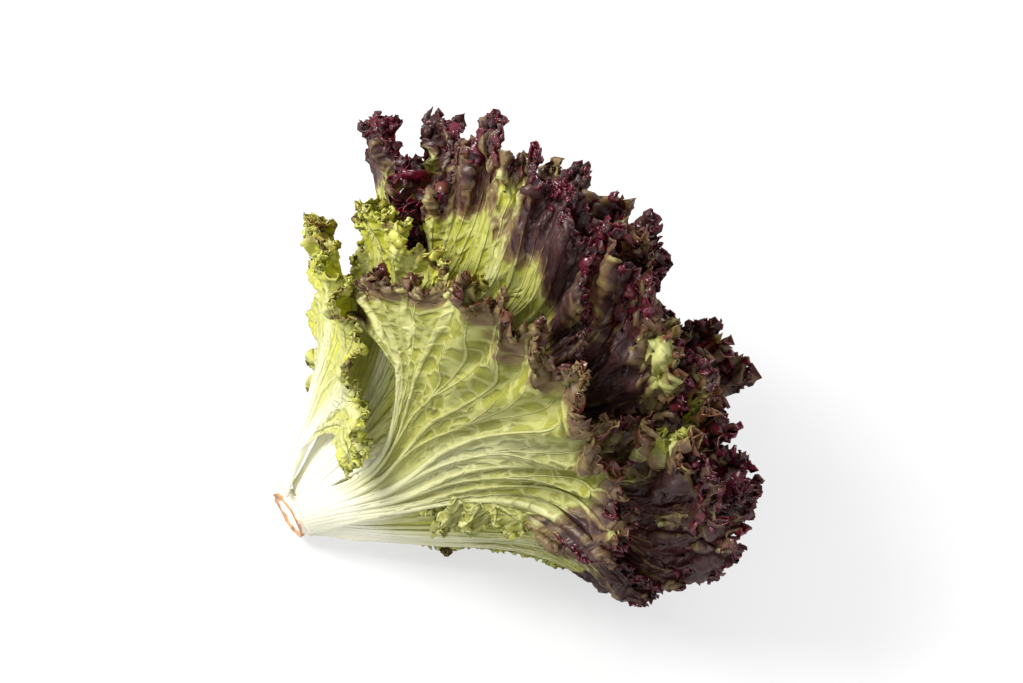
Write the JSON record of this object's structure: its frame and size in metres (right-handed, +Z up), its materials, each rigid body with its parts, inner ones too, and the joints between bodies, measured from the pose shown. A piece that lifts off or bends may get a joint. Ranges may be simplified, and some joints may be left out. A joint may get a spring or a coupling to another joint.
{
  "type": "red leaf lettuce",
  "caption": "Head of frilly red leaf lettuce lying on its side: ruffled wine-red and green leaves round a short cut stem.",
  "frame": {"origin": "middle of the underside of the head's bounding box, on the surface it lies on", "axes": "+X along the head's axis on the ground, from the cut stem to the frilly crown; +Z up; +Y across the crown, to the head's far side as the picture shows it"},
  "size_m": [0.2052, 0.2926, 0.2193],
  "materials": {
    "leaf_green": "green leaf blade with pale veins and a dusky red frill, satin",
    "leaf_red": "wine-red leaf blade with an olive heart, waxy sheen on the frill",
    "stem": "ivory plant stem with a rust-brown cut face, matte"
  },
  "bodies": {
    "root": {"leaf_far_low": "leaf_green", "leaf_front": "leaf_red", "leaf_front_low": "leaf_green", "leaf_front_middle": "leaf_red", "leaf_front_wrap": "leaf_green", "leaf_inner_01": "leaf_red", "leaf_inner_02": "leaf_red", "leaf_inner_03": "leaf_red", "leaf_inner_04": "leaf_red", "leaf_inner_05": "leaf_red", "leaf_inner_06": "leaf_red", "leaf_inner_07": "leaf_red", "leaf_inner_08": "leaf_red", "leaf_inner_09": "leaf_red", "leaf_inner_10": "leaf_red", "leaf_low_far": "leaf_red", "leaf_low_middle": "leaf_red", "leaf_side_far": "leaf_green", "leaf_side_pale": "leaf_green", "leaf_side_upper": "leaf_green", "leaf_top": "leaf_green", "leaf_top_far": "leaf_red", "leaf_top_front": "leaf_red", "leaf_under": "leaf_green", "stem": "stem"}
  },
  "joints": []
}
